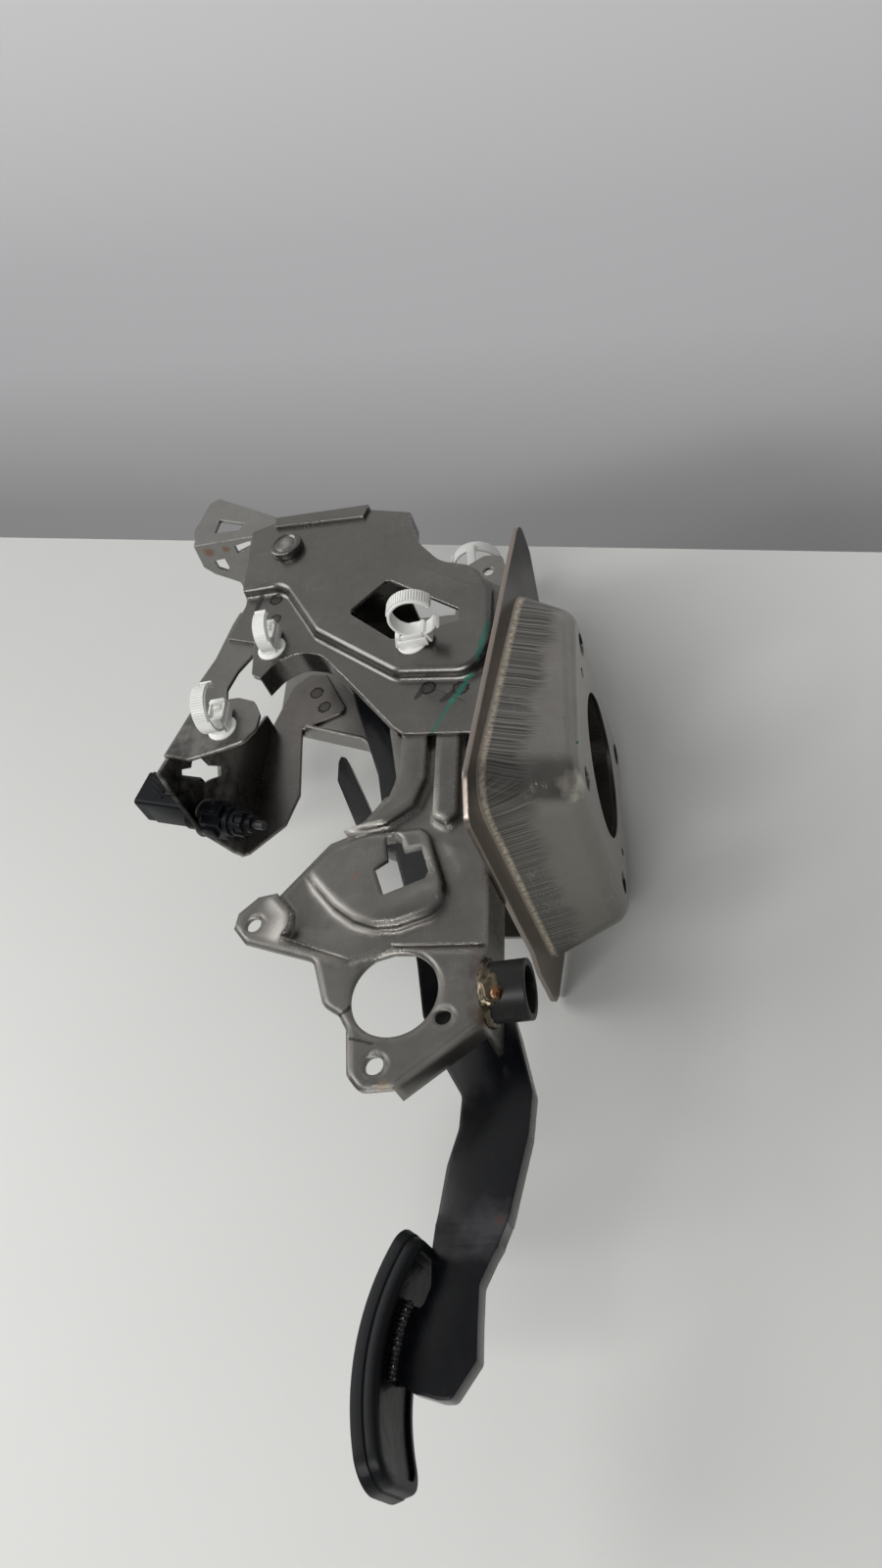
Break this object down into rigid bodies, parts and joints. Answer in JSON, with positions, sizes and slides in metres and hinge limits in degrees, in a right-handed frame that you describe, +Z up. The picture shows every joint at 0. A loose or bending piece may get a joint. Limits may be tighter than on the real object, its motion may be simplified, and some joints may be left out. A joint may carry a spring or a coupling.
{
  "type": "brake pedal assembly",
  "caption": "Hanging brake pedal on a pressed-steel bracket with a drawn firewall dish, pivot, stop-lamp switch, rubber pad and harness clips.",
  "frame": {"origin": "centre of the large dish hole, on the face that seats on the firewall", "axes": "+X forward through the firewall, +Y to the left of the vehicle, +Z up"},
  "size_m": [0.2424, 0.165, 0.5133],
  "materials": {
    "dish_steel": "drawn, fine scratches",
    "plate_steel": "satin, oiled",
    "plated_steel": "worn plating",
    "bush_plastic": "matte",
    "arm_black": "satin black",
    "pad_rubber": "matte",
    "switch_plastic": "matte",
    "terminal_metal": "plain",
    "collar_steel": "satin dark gray",
    "weld_steel": "rough, heat tinted",
    "clip_nylon": "satin, slightly see-through"
  },
  "bodies": {
    "bracket": {"firewall_dish": "dish_steel", "right_side_plate": "plate_steel", "right_lower_plate": "plate_steel", "left_side_plate": "plate_steel", "top_web": "plate_steel", "dash_bracket": "plate_steel", "switch_bracket": "plate_steel", "switch_brace": "plate_steel", "pivot_pin": "plated_steel", "pivot_nut": "plated_steel", "switch_body": "switch_plastic", "switch_lock": "switch_plastic", "switch_terminals": "terminal_metal", "collar_tube": "collar_steel", "collar_weld": "weld_steel", "clip_by_window": "clip_nylon", "clip_by_arch": "clip_nylon", "clip_on_strap": "clip_nylon", "clip_on_ear": "clip_nylon"},
    "pedal": {"pivot_tube": "arm_black", "right_bush": "bush_plastic", "left_bush": "bush_plastic", "pedal_arm": "arm_black", "pad_plate": "arm_black", "pad_rubber": "pad_rubber", "pad_weld": "arm_black"},
    "plunger": {"switch_plunger": "switch_plastic"}
  },
  "joints": [
    {"name": "pedal_swing", "type": "hinge", "parent": "bracket", "child": "pedal", "pos_m": [-0.154, 0, 0.141], "axis": [0, 1, 0], "range_deg": [-1, 14]},
    {"name": "switch_plunger_press", "type": "slide", "parent": "bracket", "child": "plunger", "axis": [-0.9506, 0, 0.3104], "range_m": [0, 0.006], "stiffness_N_per_m": 400, "springref_m": -0.002}
  ]
}
